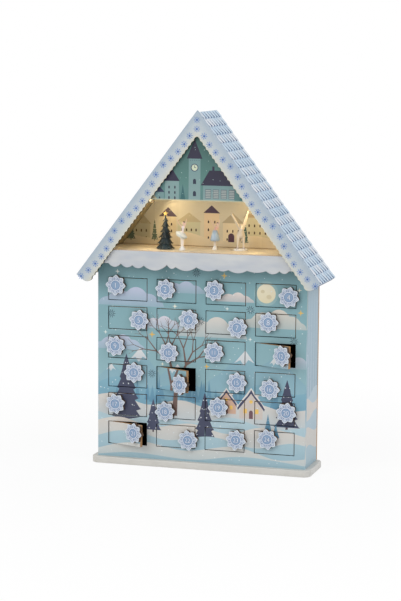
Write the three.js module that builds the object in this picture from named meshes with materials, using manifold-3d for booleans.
// A wooden house advent calendar: 24 numbered doors on pin hinges in front of 24 compartments,
// and a lit attic stage with small figures under a shingled gable roof.
// Millimetres, +Z up. The front faces -Y. The origin is the centre of the plinth's underside.

import * as THREE from 'three';
import { mergeVertices } from 'three/addons/utils/BufferGeometryUtils.js';
import Module from 'manifold-3d';

const wasm = await Module();
wasm.setup();

// Driving dimensions of the boards and the house
const boardThickness = 4.5;
const wallWidth = 272;
const houseDepth = 64;
const plinthThickness = 8.5;
const plinthLip = 7.5;
const plinthCorner = 10;
const plinthRounding = 1.2;
const atticRise = 266.5;
const atticFloorThickness = 4;
const ridgeRise = 441.5;
const seatGap = 0.3;

// Driving dimensions of the roof
const roofPitch = THREE.MathUtils.degToRad(52.84);
const slopeLength = 260;
const roofThickness = 7;
const shingleCourses = 21;
const shingleRise = 1.5;
const roofOverhang = 22;
const gableWidth = 19.2;
const gableThickness = 4.5;
const gableEndRadius = 8;
const scallopPitch = 6.5;
const scallopDepth = 1.2;

// Driving dimensions of the doors and windows
const columns = 4;
const rows = 6;
const columnPitch = 64.2;
const rowPitch = 36.9;
const windowWidth = 51.8;
const windowHeight = 29.3;
const headBand = 36.5;
const doorGap = 0.8;
const pivotInset = 4;
const pinRadius = 0.7;
const pinClearance = 0.25;
const pinReach = 2.6;
const pinEndClearance = 0.4;
const pinRoot = 1;
const partitionThickness = 3;
const slotClearance = 0.2;

// Driving dimensions of the knobs
const knobRadius = 13.2;
const knobNotchRadius = 10.4;
const knobThickness = 5;
const knobStandoff = 0.5;
const knobBossRadius = 6;
const knobLobes = 8;
const lobeHalfAngle = THREE.MathUtils.degToRad(7);

// Where each knob sits on its door: how far towards the door's free edge, and how far up
const knobPlaces = [
  [14.5, 5], [13, 2.5], [13.5, 4], [17.5, -0.5],
  [16.5, -1], [17.5, 2.5], [16.5, -4.5], [8, 4],
  [15, 1.5], [8.5, -3.5], [13.5, 0], [18.5, 2.5],
  [10, 5.5], [18.5, -3.5], [16.5, 0.5], [5.5, -5.5],
  [15, 1], [13, -5], [7.5, 4.5], [16, 3],
  [18, 4], [17.5, -3], [16, 1.5], [8, 5],
];

// Doors that stand ajar, in degrees
const ajar = { 12: 22, 14: 26, 21: 19 };

// Driving dimensions of the attic stage
const pelmetThickness = 2.5;
const pelmetRise = 64.5;
const backdropThickness = 2;
const backdropLap = 8;
const trimThickness = 4;

// The snow trim's lower edge, from left to right: place, depth of the notch, depth of the next lobe
const snowNotches = [
  [-116, 17, 21.5], [-99.5, 17, 21.5], [-84.5, 18.5, 22], [-69.5, 18.5, 24],
  [-39, 16.5, 21], [-28, 18.5, 23], [-1, 18, 22], [25.5, 19.5, 21.5], [40, 19.5, 23],
  [64, 19.5, 21.5], [88, 19, 22.5], [105, 18.5, 21.5], [117, 18, 21.5],
];

// Driving dimensions of the lights
const ledRadius = 2.5;
const ledFlangeRadius = 3;
const ledFlange = 1;
const ledLength = 8.6;
const ledRise = 62.5;
const ledSetback = 22;
const wireRadius = 0.8;
const wireSlack = 0.4;
const wireEntry = 5;

// The wires' first points: up the slope from the light, and back
const wireRun = [[6, 0], [14, 5], [20, 14]];

// Driving dimensions of the battery case
const cellRadius = 5.25;
const cellLength = 44.5;
const cellNubRadius = 1.9;
const cellNub = 0.8;
const cellGap = 0.4;
const contactRoom = 3.5;
const contactThickness = 0.6;
const caseWall = 1.2;
const flangeFloor = 1;
const railThickness = 1;
const flangeLap = 3.5;
const railLap = 2;
const coverThickness = 1.3;
const coverGap = 0.3;
const coverRib = 2;
const coverRibRise = 1;
const switchZone = 15;
const switchTravel = 3;
const switchStem = 3;
const switchHeight = 2.6;
const switchStandout = 1.6;
const switchFootLap = 1.4;
const batteryMargin = 2;

// Driving dimensions of the figures
const treeHeight = 42.4;
const treeRadius = 11.6;
const starRadius = 3.8;
const starThickness = 1.6;
const figureBase = 2.2;
const leftDancerHeight = 36;

// Where the figures stand: across, and back from the house front
const treePlace = [-51.5, 14.6];
const leftDancerPlace = [-27.3, 8];
const rightDancerPlace = [9.3, 28];
const horsePlace = [42.3, 30];
const horseTurn = THREE.MathUtils.degToRad(20);
const wingLean = THREE.MathUtils.degToRad(6);

// Levels, depths and slopes that follow
const plinthTop = plinthThickness;
const atticFloorTop = plinthTop + atticRise;
const atticFloorUnderside = atticFloorTop - atticFloorThickness;
const apex = plinthTop + ridgeRise;
const halfWall = wallWidth / 2;
const plinthDepth = houseDepth + plinthLip;
const front = plinthLip - plinthDepth / 2;
const back = front + houseDepth;
const insideFront = front + boardThickness;
const insideBack = back - boardThickness;
const gableFront = front - roofOverhang;
const gableBack = gableFront + gableThickness;
const trimBack = gableBack + trimThickness;
const pelmetBottom = atticFloorTop + pelmetRise;
const cosPitch = Math.cos(roofPitch);
const sinPitch = Math.sin(roofPitch);
const tanPitch = Math.tan(roofPitch);
const web = rowPitch - windowHeight;
const firstRowTop = atticFloorTop - headBand;
const doorWidth = windowWidth - 2 * doorGap;
const doorHeight = windowHeight - 2 * doorGap;

// The dancers and the winged horse are drawn beside a left dancer 36 high
const figureUnit = leftDancerHeight / 36;

// Height of a plane that lies a given depth under the roof's outer surface, above the place x
const roofHeight = (x, depth) => apex - depth / cosPitch - Math.abs(x) * tanPitch;

// Half width between the two slopes at the height z, a given depth under their outer surface
const roofReach = (z, depth) => (apex - z) / tanPitch - depth / sinPitch;

const underRoof = roofThickness + seatGap;

// The walls and the front panel end under the roof, or under the attic floor where that comes first
const wallTop = Math.min(roofHeight(halfWall, underRoof), atticFloorUnderside);
const shoulder = Math.min(roofReach(atticFloorUnderside, underRoof), halfWall);

const calendar = new THREE.Group();
calendar.name = 'advent_calendar';

// Materials
const paint = (color, roughness = 0.6) => new THREE.MeshStandardMaterial({ color, roughness, metalness: 0 });
const metal = (color, roughness) => new THREE.MeshStandardMaterial({ color, roughness, metalness: 1 });
const material = {
  plinth: paint(0xc8c5bf),
  frontPanel: paint(0x7299a1),
  sideWall: paint(0xa9bcc6),
  board: paint(0xb98a5a),
  partition: paint(0x1c1b1a, 0.8),
  stageFloor: paint(0xe3dccb),
  shingles: paint(0xc9dceb),
  gable: paint(0xc5d0d9),
  snow: paint(0xd3d5da),
  pelmet: paint(0x5b8a8a),
  backdrop: paint(0xd9b878),
  door: paint(0x86adb5),
  led: new THREE.MeshStandardMaterial({ color: 0xfff0c0, roughness: 0.2, emissive: 0xffd080 }),
  wire: paint(0x2a2a2a, 0.5),
  tree: paint(0x2c4444, 0.35),
  gold: metal(0xd4a545, 0.35),
  figure: paint(0xe6e2e6, 0.4),
  blueFigure: paint(0xb9d3e6, 0.4),
  casePlastic: paint(0xe8e6e0, 0.45),
  darkPlastic: paint(0x2b2b2e, 0.45),
  cell: paint(0x4a4f57, 0.35),
  steel: metal(0xb8bcc0, 0.3),
};

function addPiece(name, geometry, finish) {
  const mesh = new THREE.Mesh(geometry, finish);
  mesh.name = name;
  calendar.add(mesh);
  return mesh;
}

// Booleans: a closed geometry becomes a solid, and a solid becomes a geometry again
function solidOf(geometry) {
  const bare = geometry.clone();
  bare.deleteAttribute('normal');
  bare.deleteAttribute('uv');
  const merged = mergeVertices(bare, 1e-4);
  return new wasm.Manifold(new wasm.Mesh({
    numProp: 3,
    vertProperties: new Float32Array(merged.attributes.position.array),
    triVerts: new Uint32Array(merged.index.array),
  }));
}

function geometryOf(solid) {
  const mesh = solid.getMesh();
  const geometry = new THREE.BufferGeometry();
  geometry.setAttribute('position', new THREE.BufferAttribute(mesh.vertProperties, 3));
  geometry.setIndex(new THREE.BufferAttribute(mesh.triVerts, 1));
  geometry.computeVertexNormals();
  return geometry;
}

const join = (geometries) => geometryOf(geometries.map(solidOf).reduce((all, one) => all.add(one)));

const cut = (geometry, tools) => geometryOf(
  tools.map(solidOf).reduce((rest, tool) => rest.subtract(tool), solidOf(geometry)));

// A block between two corners
function block(x, y, z) {
  const geometry = new THREE.BoxGeometry(x[1] - x[0], y[1] - y[0], z[1] - z[0]);
  return geometry.translate((x[0] + x[1]) / 2, (y[0] + y[1]) / 2, (z[0] + z[1]) / 2);
}

// The two ends of a span around a middle
const around = (middle, half) => [middle - half, middle + half];

function shapeOf(points) {
  return new THREE.Shape(points.map(([u, v]) => new THREE.Vector2(u, v)));
}

// A board cut from an outline drawn in x and z, standing between two depths
function uprightBoard(outline, depths, curveSegments = 6) {
  const thickness = depths[1] - depths[0];
  const geometry = new THREE.ExtrudeGeometry(outline, { depth: thickness, bevelEnabled: false, curveSegments });
  return geometry.rotateX(Math.PI / 2).translate(0, depths[1], 0);
}

// A board cut from an outline drawn in y and z, standing between two places in x
function sideBoard(outline, places) {
  const thickness = places[1] - places[0];
  const geometry = new THREE.ExtrudeGeometry(outline, { depth: thickness, bevelEnabled: false });
  const turned = new THREE.Matrix4().makeBasis(
    new THREE.Vector3(0, 1, 0), new THREE.Vector3(0, 0, 1), new THREE.Vector3(1, 0, 0));
  return geometry.applyMatrix4(turned).translate(places[0], 0, 0);
}

// An upright round rod
function rod(radius, z, x = 0, y = 0, sides = 6, topRadius = radius) {
  const geometry = new THREE.CylinderGeometry(topRadius, radius, z[1] - z[0], sides);
  return geometry.rotateX(Math.PI / 2).translate(x, y, (z[0] + z[1]) / 2);
}

// A turned form around the z axis, from a profile of [radius, height] that starts and ends on it
function turned(profile, sides = 10) {
  const points = profile.map(([radius, height]) => new THREE.Vector2(radius, height));
  return new THREE.LatheGeometry(points, sides).rotateX(Math.PI / 2);
}

// A tapered limb between two points
function limb(from, to, fromRadius, toRadius, sides = 6) {
  const start = new THREE.Vector3(...from);
  const along = new THREE.Vector3(...to).sub(start);
  const geometry = new THREE.CylinderGeometry(toRadius, fromRadius, along.length(), sides);
  geometry.translate(0, along.length() / 2, 0);
  const turn = new THREE.Quaternion().setFromUnitVectors(new THREE.Vector3(0, 1, 0), along.clone().normalize());
  return geometry.applyQuaternion(turn).translate(start.x, start.y, start.z);
}

function ball(centre, radii, sides = 8) {
  const geometry = new THREE.SphereGeometry(1, sides, Math.max(4, sides - 2));
  return geometry.scale(...radii).translate(...centre);
}

// Plinth
function plinth() {
  const halfWidth = halfWall + plinthLip - plinthRounding;
  const halfDepth = plinthDepth / 2 - plinthRounding;
  const radius = plinthCorner - plinthRounding;
  const outline = new THREE.Shape();
  outline.moveTo(-halfWidth + radius, -halfDepth);
  outline.lineTo(halfWidth - radius, -halfDepth);
  outline.absarc(halfWidth - radius, -halfDepth + radius, radius, -Math.PI / 2, 0);
  outline.lineTo(halfWidth, halfDepth - radius);
  outline.absarc(halfWidth - radius, halfDepth - radius, radius, 0, Math.PI / 2);
  outline.lineTo(-halfWidth + radius, halfDepth);
  outline.absarc(-halfWidth + radius, halfDepth - radius, radius, Math.PI / 2, Math.PI);
  outline.lineTo(-halfWidth, -halfDepth + radius);
  outline.absarc(-halfWidth + radius, -halfDepth + radius, radius, Math.PI, 1.5 * Math.PI);
  const geometry = new THREE.ExtrudeGeometry(outline, {
    depth: plinthThickness - 2 * plinthRounding,
    bevelThickness: plinthRounding,
    bevelSize: plinthRounding,
    bevelSegments: 2,
    curveSegments: 5,
  });
  return geometry.translate(0, 0, plinthRounding);
}
addPiece('plinth', plinth(), material.plinth);

// The places of the windows, doors and their hinges
const windowCentreX = (column) => (column - (columns - 1) / 2) * columnPitch;
const windowTop = (row) => firstRowTop - row * rowPitch;
const windowCentreZ = (row) => windowTop(row) - windowHeight / 2;

// The hinge changes sides from row to row, and the last column mirrors the others: -1 left, 1 right
const hingeSide = (column, row) => (row % 2 === 0 ? 1 : -1) * (column === columns - 1 ? -1 : 1);

const pivotX = (column, row) => windowCentreX(column) + hingeSide(column, row) * (doorWidth / 2 - pivotInset);
const pivotY = front + boardThickness / 2;

// Front panel: the windows, and a blind hole above and below each for the door's pins
function frontPanel() {
  const outline = shapeOf([
    [-halfWall, plinthTop], [halfWall, plinthTop],
    [halfWall, wallTop], [shoulder, atticFloorUnderside],
    [-shoulder, atticFloorUnderside], [-halfWall, wallTop],
  ]);
  const tools = [];
  for (let row = 0; row < rows; row += 1) {
    for (let column = 0; column < columns; column += 1) {
      const x = windowCentreX(column);
      const z = windowCentreZ(row);
      const pinEnd = doorHeight / 2 + pinReach + pinEndClearance;
      tools.push(
        block([x - windowWidth / 2, x + windowWidth / 2], [front - 1, insideFront + 1],
          [z - windowHeight / 2, z + windowHeight / 2]),
        rod(pinRadius + pinClearance, [z - pinEnd, z + pinEnd], pivotX(column, row), pivotY));
    }
  }
  return cut(uprightBoard(outline, [front, insideFront]), tools);
}
addPiece('front_panel', frontPanel(), material.frontPanel);

// Side walls, with their tops cut to the roof
function sideWall(side) {
  const outer = side * halfWall;
  const inner = side * (halfWall - boardThickness);
  const innerTop = Math.min(roofHeight(inner, underRoof), atticFloorUnderside);
  const outline = shapeOf([
    [outer, plinthTop], [outer, wallTop], [inner, innerTop], [inner, plinthTop],
  ]);
  return uprightBoard(outline, [insideFront, insideBack]);
}
addPiece('left_wall', sideWall(-1), material.sideWall);
addPiece('right_wall', sideWall(1), material.sideWall);

// Battery case sizes: two cells side by side under a sliding cover, a switch beside them
const caseInnerWidth = cellLength + 2 * contactRoom;
const caseInnerHeight = 4 * cellRadius + 3 * cellGap;
const caseInnerDepth = 2 * cellRadius + 2 * cellGap;
const caseOuterWidth = caseInnerWidth + 2 * caseWall;
const caseOuterHeight = caseInnerHeight + 2 * caseWall;
const flangeWidth = caseOuterWidth + 2 * flangeLap + switchZone;
const flangeHeight = caseOuterHeight + 2 * flangeLap;
const caseCentreX = -switchZone / 2;
const caseCentreZ = roofHeight(flangeWidth / 2, underRoof) - batteryMargin - flangeHeight / 2;
const caseX = [caseCentreX - caseOuterWidth / 2, caseCentreX + caseOuterWidth / 2];
const caseZ = [caseCentreZ - caseOuterHeight / 2, caseCentreZ + caseOuterHeight / 2];
const caseInner = back - caseInnerDepth;

// The opening that the battery case passes through, in whatever board reaches it
const caseOpening = () => block(
  [caseX[0] - seatGap, caseX[1] + seatGap],
  [insideBack - backdropThickness - 1, back + 1],
  [caseZ[0] - seatGap, caseZ[1] + seatGap]);

// Back panel
function backPanel() {
  const outline = shapeOf([
    [-halfWall, plinthTop], [halfWall, plinthTop], [halfWall, roofHeight(halfWall, underRoof)],
    [0, roofHeight(0, underRoof)], [-halfWall, roofHeight(halfWall, underRoof)],
  ]);
  return cut(uprightBoard(outline, [insideBack, back]), [caseOpening()]);
}
addPiece('back_panel', backPanel(), material.board);

// Attic floor, which reaches forward to the snow trim
const floorReach = roofReach(atticFloorTop, underRoof);
addPiece('attic_floor', block(
  around(0, floorReach), [trimBack, insideBack], [atticFloorUnderside, atticFloorTop]), material.stageFloor);

// Partitions: upright dividers slotted from the back, shelves slotted from the front
const crossing = (insideFront + insideBack) / 2;
const dividerX = Array.from({ length: columns - 1 }, (_, i) => (windowCentreX(i) + windowCentreX(i + 1)) / 2);
const shelfZ = Array.from({ length: rows - 1 }, (_, i) => windowTop(i) - windowHeight - web / 2);
const slotHalf = partitionThickness / 2 + slotClearance;

function divider(x) {
  const points = [[insideFront, plinthTop], [insideBack, plinthTop]];
  for (const z of [...shelfZ].reverse()) {
    points.push([insideBack, z - slotHalf], [crossing - slotClearance, z - slotHalf]);
    points.push([crossing - slotClearance, z + slotHalf], [insideBack, z + slotHalf]);
  }
  points.push([insideBack, atticFloorUnderside], [insideFront, atticFloorUnderside]);
  return sideBoard(shapeOf(points), [x - partitionThickness / 2, x + partitionThickness / 2]);
}

function shelf(z) {
  const inside = halfWall - boardThickness;
  const points = [[inside, insideBack], [-inside, insideBack], [-inside, insideFront]];
  for (const x of dividerX) {
    points.push([x - slotHalf, insideFront], [x - slotHalf, crossing + slotClearance]);
    points.push([x + slotHalf, crossing + slotClearance], [x + slotHalf, insideFront]);
  }
  points.push([inside, insideFront]);
  const geometry = new THREE.ExtrudeGeometry(shapeOf(points), { depth: partitionThickness, bevelEnabled: false });
  return geometry.translate(0, 0, z - partitionThickness / 2);
}

dividerX.forEach((x, i) => addPiece(`divider_${i + 1}`, divider(x), material.partition));
shelfZ.forEach((z, i) => addPiece(`shelf_${i + 1}`, shelf(z), material.partition));

// A point on a slope: the distance down it from the ridge, and the depth under its outer surface
const slopePoint = (side, down, depth) => [
  side * (down * cosPitch - depth * sinPitch),
  apex - down * sinPitch - depth * cosPitch,
];

// Where a slope plane of a given depth meets the other slope's, measured down the slope
const mitre = (depth) => depth * tanPitch;

// Roof panels: overlapping courses of shingles step the outer surface
function roofPanel(side) {
  const exposure = slopeLength / shingleCourses;
  const start = mitre(shingleRise) / (1 + shingleRise * tanPitch / exposure);
  const startDepth = shingleRise * (1 - start / exposure);
  const points = [slopePoint(side, start, startDepth)];
  for (let course = 1; course <= shingleCourses; course += 1) {
    points.push(slopePoint(side, course * exposure, 0));
    if (course < shingleCourses) points.push(slopePoint(side, course * exposure, shingleRise));
  }
  points.push(slopePoint(side, slopeLength, roofThickness));
  points.push(slopePoint(side, mitre(roofThickness), roofThickness));
  points[0][0] = 0;
  points[points.length - 1][0] = 0;
  return uprightBoard(shapeOf(points), [gableBack, back]);
}
addPiece('roof_left', roofPanel(-1), material.shingles);
addPiece('roof_right', roofPanel(1), material.shingles);

// Gable board: one piece up and down both slopes, scalloped inside, with rounded ends
function gableBoard() {
  const outline = new THREE.Shape();
  const go = (side, down, depth) => outline.lineTo(...slopePoint(side, down, depth));
  outline.moveTo(0, apex);
  go(1, slopeLength, 0);
  go(1, slopeLength, gableWidth - gableEndRadius);
  outline.quadraticCurveTo(
    ...slopePoint(1, slopeLength, gableWidth), ...slopePoint(1, slopeLength - gableEndRadius, gableWidth));
  const innerStart = mitre(gableWidth);
  const scallops = Math.round((slopeLength - gableEndRadius - innerStart) / scallopPitch);
  const pitch = (slopeLength - gableEndRadius - innerStart) / scallops;
  for (let i = 1; i <= scallops; i += 1) {
    const down = slopeLength - gableEndRadius - i * pitch;
    go(1, down + pitch / 2, gableWidth - scallopDepth);
    if (i < scallops) go(1, down, gableWidth);
  }
  outline.lineTo(0, apex - gableWidth / cosPitch);
  for (let i = scallops; i >= 1; i -= 1) {
    const down = slopeLength - gableEndRadius - i * pitch;
    go(-1, down + pitch / 2, gableWidth - scallopDepth);
    go(-1, down + pitch, gableWidth);
  }
  outline.quadraticCurveTo(
    ...slopePoint(-1, slopeLength, gableWidth), ...slopePoint(-1, slopeLength, gableWidth - gableEndRadius));
  go(-1, slopeLength, 0);
  return uprightBoard(outline, [gableFront, gableBack]);
}
addPiece('gable_board', gableBoard(), material.gable);

// Snow trim: straight above, pointed notches and round lobes below, ends cut to the roof
function snowTrim() {
  const outline = new THREE.Shape();
  const first = snowNotches[0];
  const last = snowNotches[snowNotches.length - 1];
  const topReach = roofReach(atticFloorTop, underRoof);
  const endReach = (depth) => roofReach(atticFloorTop - depth, underRoof);
  outline.moveTo(topReach, atticFloorTop);
  outline.lineTo(-topReach, atticFloorTop);
  outline.lineTo(-endReach(first[1]), atticFloorTop - first[1]);
  outline.lineTo(first[0], atticFloorTop - first[1]);
  for (let i = 1; i < snowNotches.length; i += 1) {
    const [x0, notch0, lobe] = snowNotches[i - 1];
    const [x1, notch1] = snowNotches[i];
    const pull = 2 * lobe - (notch0 + notch1) / 2;
    outline.quadraticCurveTo((x0 + x1) / 2, atticFloorTop - pull, x1, atticFloorTop - notch1);
  }
  outline.lineTo(endReach(last[1]), atticFloorTop - last[1]);
  return uprightBoard(outline, [gableBack, trimBack], 5);
}
addPiece('snow_trim', snowTrim(), material.snow);

// Pelmet: the printed panel that hides the lights, right behind the gable board
const pelmetReach = roofReach(pelmetBottom, underRoof);
addPiece('pelmet', uprightBoard(shapeOf([
  [-pelmetReach, pelmetBottom], [pelmetReach, pelmetBottom], [0, roofHeight(0, underRoof)],
]), [gableBack, gableBack + pelmetThickness]), material.pelmet);

// Backdrop: the printed board at the back of the stage
const backdropTop = pelmetBottom + backdropLap;
const backdropReach = [roofReach(atticFloorTop, underRoof), roofReach(backdropTop, underRoof)];
addPiece('backdrop', cut(uprightBoard(shapeOf([
  [-backdropReach[0], atticFloorTop], [backdropReach[0], atticFloorTop],
  [backdropReach[1], backdropTop], [-backdropReach[1], backdropTop],
]), [insideBack - backdropThickness, insideBack]), [caseOpening()]), material.backdrop);

// Battery case: a tray behind the back panel, and a flange with rails. The cover slides off towards -X.
const flangeX = [-flangeWidth / 2, flangeWidth / 2];
const flangeZ = [caseCentreZ - flangeHeight / 2, caseCentreZ + flangeHeight / 2];
const cellBayX = [caseX[0] + caseWall, caseX[1] - caseWall];
const cellBayZ = [caseZ[0] + caseWall, caseZ[1] - caseWall];
const coverX = [flangeX[0], caseX[1] + railLap - coverGap];
const coverZ = [caseZ[0] - railLap + coverGap, caseZ[1] + railLap - coverGap];
const coverY = [back + flangeFloor + coverGap, back + flangeFloor + coverGap + coverThickness];
const flangeBack = coverY[1] + coverGap + railThickness;
const switchX = caseX[1] + flangeLap + switchZone / 2;
const switchFootHalf = switchStem / 2 + switchFootLap;
const switchFootY = [back + coverGap, back + coverGap + coverThickness];

function batteryCase() {
  const tray = block(caseX, [caseInner - caseWall, back + 1], caseZ);
  const flange = block(flangeX, [back, flangeBack], flangeZ);
  const cellBay = block(cellBayX, [caseInner, flangeBack + 1], cellBayZ);
  const groove = block([flangeX[0] - 1, caseX[1] + railLap],
    [back + flangeFloor, coverY[1] + coverGap], [caseZ[0] - railLap, caseZ[1] + railLap]);
  const mouth = block([flangeX[0] - 1, cellBayX[1]], [coverY[0], flangeBack + 1], cellBayZ);
  const room = switchTravel / 2 + coverGap;
  const pocket = block(around(switchX, switchFootHalf + room), [back - 1, switchFootY[1] + coverGap],
    around(caseCentreZ, switchHeight / 2 + switchFootLap + coverGap));
  const slot = block(around(switchX, switchStem / 2 + room), [back, flangeBack + 1],
    around(caseCentreZ, switchHeight / 2 + coverGap));
  return cut(join([tray, flange]), [cellBay, groove, mouth, pocket, slot]);
}
addPiece('battery_case', batteryCase(), material.casePlastic);

// Two cells, lying one above the other in the tray, each turned the other way
function cell(direction) {
  const half = cellLength / 2;
  const profile = [[0, -half], [cellRadius, -half], [cellRadius, half - cellNub],
    [cellNubRadius, half - cellNub], [cellNubRadius, half], [0, half]];
  return turned(profile, 12).rotateY(direction * Math.PI / 2);
}
const cellY = caseInner + cellGap + cellRadius;
const cellRise = cellRadius + cellGap / 2;
addPiece('battery_1', cell(1), material.cell).position.set(caseCentreX, cellY, caseCentreZ + cellRise);
addPiece('battery_2', cell(-1), material.cell).position.set(caseCentreX, cellY, caseCentreZ - cellRise);

// The plate that joins the two cells at one end
addPiece('battery_contact', block(
  [cellBayX[0], cellBayX[0] + contactThickness],
  [caseInner, caseInner + 2 * cellRadius],
  [cellBayZ[0] + cellGap, cellBayZ[1] - cellGap]), material.steel);

// Sliding cover, with a thumb rib
addPiece('battery_cover', join([
  block(coverX, coverY, coverZ),
  block([cellBayX[1] - 2 * coverRib, cellBayX[1] - coverRib],
    [coverY[0] + coverThickness / 2, coverY[1] + coverRibRise],
    [caseCentreZ - cellRadius, caseCentreZ + cellRadius]),
]), material.casePlastic);

// Switch slider: a stem through the slot and a foot that keeps it in
addPiece('switch_slider', join([
  block([switchX - switchFootHalf, switchX + switchFootHalf], switchFootY,
    [caseCentreZ - switchHeight / 2 - switchFootLap, caseCentreZ + switchHeight / 2 + switchFootLap]),
  block([switchX - switchStem / 2, switchX + switchStem / 2],
    [switchFootY[0] + coverThickness / 2, flangeBack + switchStandout],
    [caseCentreZ - switchHeight / 2, caseCentreZ + switchHeight / 2]),
]), material.darkPlastic).position.x = -switchTravel / 2;

// A light on the underside of each slope, square to it
const ledZ = atticFloorTop + ledRise;
const ledY = front + ledSetback;
const ledSeatX = roofReach(ledZ, underRoof);

function led() {
  const dome = ledRadius;
  const profile = [[0, 0], [ledFlangeRadius, 0], [ledFlangeRadius, ledFlange], [ledRadius, ledFlange],
    [ledRadius, ledLength - dome], [ledRadius * 0.8, ledLength - dome * 0.4], [0, ledLength]];
  return turned(profile, 10);
}
for (const [name, side] of [['led_left', -1], ['led_right', 1]]) {
  const mesh = addPiece(name, led(), material.led);
  mesh.position.set(side * ledSeatX, ledY, ledZ);
  mesh.rotation.y = side * (Math.PI + roofPitch);
}

// The lights' wires run along the underside of the roof to the battery case
function ledWire(side) {
  const wireDepth = underRoof + wireRadius + wireSlack;
  const up = ledFlangeRadius + seatGap;
  const along = (distance, y) => {
    const z = ledZ + distance * sinPitch;
    return new THREE.Vector3(side * roofReach(z, wireDepth), y, z);
  };
  const caseSide = side < 0 ? caseX[0] : caseX[1];
  const entry = (out, forward = 0) => (
    new THREE.Vector3(caseSide + side * out, caseInner + wireEntry / 2 - forward, caseCentreZ - wireEntry));
  const across = flangeWidth / 2 - Math.abs(caseSide);
  const points = [
    along(up, ledY), ...wireRun.map(([rise, setback]) => along(up + rise, ledY + setback)),
    entry(across + wireEntry, 2 * wireEntry), entry(across), entry(wireEntry / 2), entry(seatGap),
  ];
  const route = new THREE.CatmullRomCurve3(points);
  const section = shapeOf(Array.from({ length: 8 }, (_, i) => [
    wireRadius * Math.cos(i * Math.PI / 4), wireRadius * Math.sin(i * Math.PI / 4)]));
  return new THREE.ExtrudeGeometry(section, { steps: 26, extrudePath: route, bevelEnabled: false });
}
addPiece('led_wire_left', ledWire(-1), material.wire);
addPiece('led_wire_right', ledWire(1), material.wire);

// Tree with a star, on the stage
function tree() {
  const tiers = [[1, 0.055], [0.69, 0.235], [0.86, 0.25], [0.48, 0.505], [0.58, 0.52],
    [0.36, 0.7], [0.45, 0.71], [0.22, 0.865], [0.31, 0.875]];
  const profile = [[0, 0], [treeRadius * 0.55, 0], [treeRadius * 0.55, treeHeight * 0.04]];
  tiers.forEach(([radius, height]) => profile.push([radius * treeRadius, height * treeHeight]));
  profile.push([0, treeHeight]);
  return turned(profile, 12);
}
const onStage = ([across, setback], lift = 0) => (
  new THREE.Vector3(across, front + setback, atticFloorTop + lift));
addPiece('tree', tree(), material.tree).position.copy(onStage(treePlace));

function star() {
  const points = Array.from({ length: 10 }, (_, i) => {
    const radius = i % 2 === 0 ? starRadius : starRadius * 0.45;
    const angle = Math.PI / 2 + i * Math.PI / 5;
    return [radius * Math.cos(angle), radius * Math.sin(angle)];
  });
  return uprightBoard(shapeOf(points), [-starThickness / 2, starThickness / 2]);
}
const starLowest = starRadius * 0.45;
addPiece('tree_star', star(), material.gold)
  .position.copy(onStage(treePlace, treeHeight + seatGap + starLowest));

const inFigureUnits = (geometry) => geometry.scale(figureUnit, figureUnit, figureUnit);

// A dancer on both toes: base, legs, skirt, body, head and raised arms
function dancer({ height, skirtHeight, skirtTop, skirtRadius, skirtTip, lean, armsOut, baseRadius, legRadius }) {
  const hip = skirtHeight + skirtTop;
  const neck = height - 6;
  const base = figureBase / figureUnit;
  return inFigureUnits(join([
    rod(baseRadius, [0, base], 0, 0, 12),
    limb([0, 0, base - 0.5], [0, 0, hip], legRadius * 0.8, legRadius, 8),
    turned([[0, skirtHeight + skirtTip], [skirtRadius, skirtHeight], [skirtRadius, skirtHeight + 1.2],
      [skirtRadius * 0.45, hip - 0.5], [0, hip + 1.5]], 12),
    limb([0, 0, hip], [lean, 0, neck], 1.9, 2.3, 8),
    limb([lean, 0, neck - 0.5], [lean * 1.3, 0, height - 3], 0.9, 0.9),
    ball([lean * 1.4, 0, height - 2.6], [2.4, 2.4, 2.9]),
    limb([lean + 1.6, 0, neck - 1], [lean + armsOut[1], 0, height + 3], 0.9, 0.6),
    limb([lean - 1.6, 0, neck - 1], [lean - armsOut[0], 0, height + 3], 0.9, 0.6),
  ]));
}
addPiece('dancer_left', dancer({
  height: 36, skirtHeight: 17.5, skirtTop: 4.5, skirtRadius: 8, skirtTip: 1.2,
  lean: 1.2, armsOut: [8, 4.5], baseRadius: 3.9, legRadius: 2.4,
}), material.figure).position.copy(onStage(leftDancerPlace));
addPiece('dancer_right', dancer({
  height: 34.5, skirtHeight: 11.5, skirtTop: 13, skirtRadius: 6, skirtTip: 3,
  lean: 2, armsOut: [7, 4], baseRadius: 3.3, legRadius: 1.8,
}), material.blueFigure).position.copy(onStage(rightDancerPlace));

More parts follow.
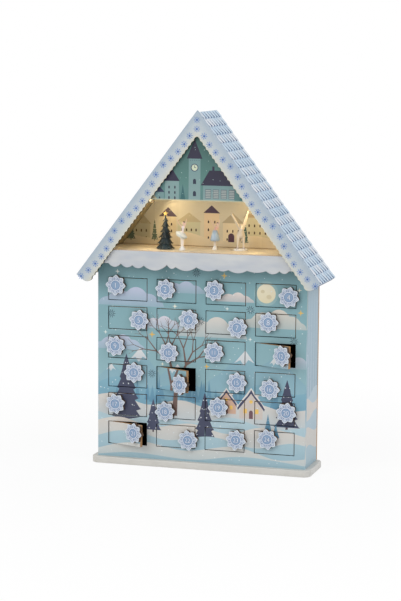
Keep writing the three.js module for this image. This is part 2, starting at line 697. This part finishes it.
// A small winged horse that faces forward
function wingedHorse() {
  const bodyHeight = 20;
  const base = figureBase / figureUnit;
  const parts = [
    rod(9, [0, base], 0, 0, 14),
    ball([0, 0, bodyHeight], [5, 8, 5.2], 10),
    limb([0, -5, bodyHeight + 1], [0, -8.5, bodyHeight + 10], 4, 2.4, 8),
    limb([0, -7.5, bodyHeight + 11], [0, -12.5, bodyHeight + 8], 2.6, 1.5, 8),
    limb([1.2, -8.2, bodyHeight + 11], [1.8, -8.4, bodyHeight + 14], 0.9, 0.4),
    limb([-1.2, -8.2, bodyHeight + 11], [-1.8, -8.4, bodyHeight + 14], 0.9, 0.4),
    limb([0, 7, bodyHeight + 2], [0, 9, bodyHeight - 9], 1.6, 0.9),
  ];
  for (const [x, y] of [[-3.8, -5], [3.8, -5], [-3.8, 5], [3.8, 5]]) {
    parts.push(limb([x, y, base - 0.5], [x * 0.75, y, bodyHeight - 1], 1.2, 2));
  }
  for (const side of [-1, 1]) {
    const feathers = shapeOf([[1.2, -4.5], [4.2, -1.5], [8.3, 6.5], [11.6, 15], [12.2, 20.5],
      [9.4, 17.5], [5.4, 10], [2.2, 3.5], [0.8, -1]]);
    const wing = uprightBoard(feathers, [-0.8, 0.8]);
    if (side < 0) wing.rotateZ(Math.PI);
    parts.push(wing.rotateY(-wingLean).translate(0, 0, bodyHeight + 8.5));
  }
  return inFigureUnits(join(parts)).rotateZ(horseTurn);
}
addPiece('winged_horse', wingedHorse(), material.figure).position.copy(onStage(horsePlace));

// Doors: a leaf with a rosette knob, and a pin above and below that turns in the panel's holes.
// Each is modelled around its own pivot line and set in its window, ajar where it stands ajar.
function rosette() {
  const step = 2 * Math.PI / knobLobes;
  const points = [];
  for (let lobe = 0; lobe < knobLobes; lobe += 1) {
    const middle = lobe * step;
    const corners = [
      [knobRadius, middle - lobeHalfAngle],
      [knobRadius, middle + lobeHalfAngle],
      [knobNotchRadius, middle + step / 2],
    ];
    corners.forEach(([radius, angle]) => points.push([radius * Math.cos(angle), radius * Math.sin(angle)]));
  }
  return shapeOf(points);
}

function door(side, [knobReach, knobLift]) {
  const leafX = [pivotInset, pivotInset - doorWidth].map((x) => side * x).sort((a, b) => a - b);
  const face = -boardThickness / 2;
  const knobX = -side * (doorWidth / 2 - pivotInset + knobReach);
  const knobBack = face - knobStandoff;
  const boss = new THREE.CylinderGeometry(knobBossRadius, knobBossRadius, knobStandoff + 2, 8)
    .translate(knobX, face - knobStandoff / 2, knobLift);
  return join([
    block(leafX, [face, -face], [-doorHeight / 2, doorHeight / 2]),
    rod(pinRadius, [doorHeight / 2 - pinRoot, doorHeight / 2 + pinReach]),
    rod(pinRadius, [-doorHeight / 2 - pinReach, pinRoot - doorHeight / 2]),
    boss,
    uprightBoard(rosette(), [knobBack - knobThickness, knobBack]).translate(knobX, 0, knobLift),
  ]);
}

for (let number = 1; number <= rows * columns; number += 1) {
  const column = (number - 1) % columns;
  const row = Math.floor((number - 1) / columns);
  const side = hingeSide(column, row);
  const name = `door_${String(number).padStart(2, '0')}`;
  const mesh = addPiece(name, door(side, knobPlaces[number - 1]), material.door);
  mesh.position.set(pivotX(column, row), pivotY, windowCentreZ(row));
  mesh.rotation.z = side * THREE.MathUtils.degToRad(ajar[number] ?? 0);
}

export default calendar;
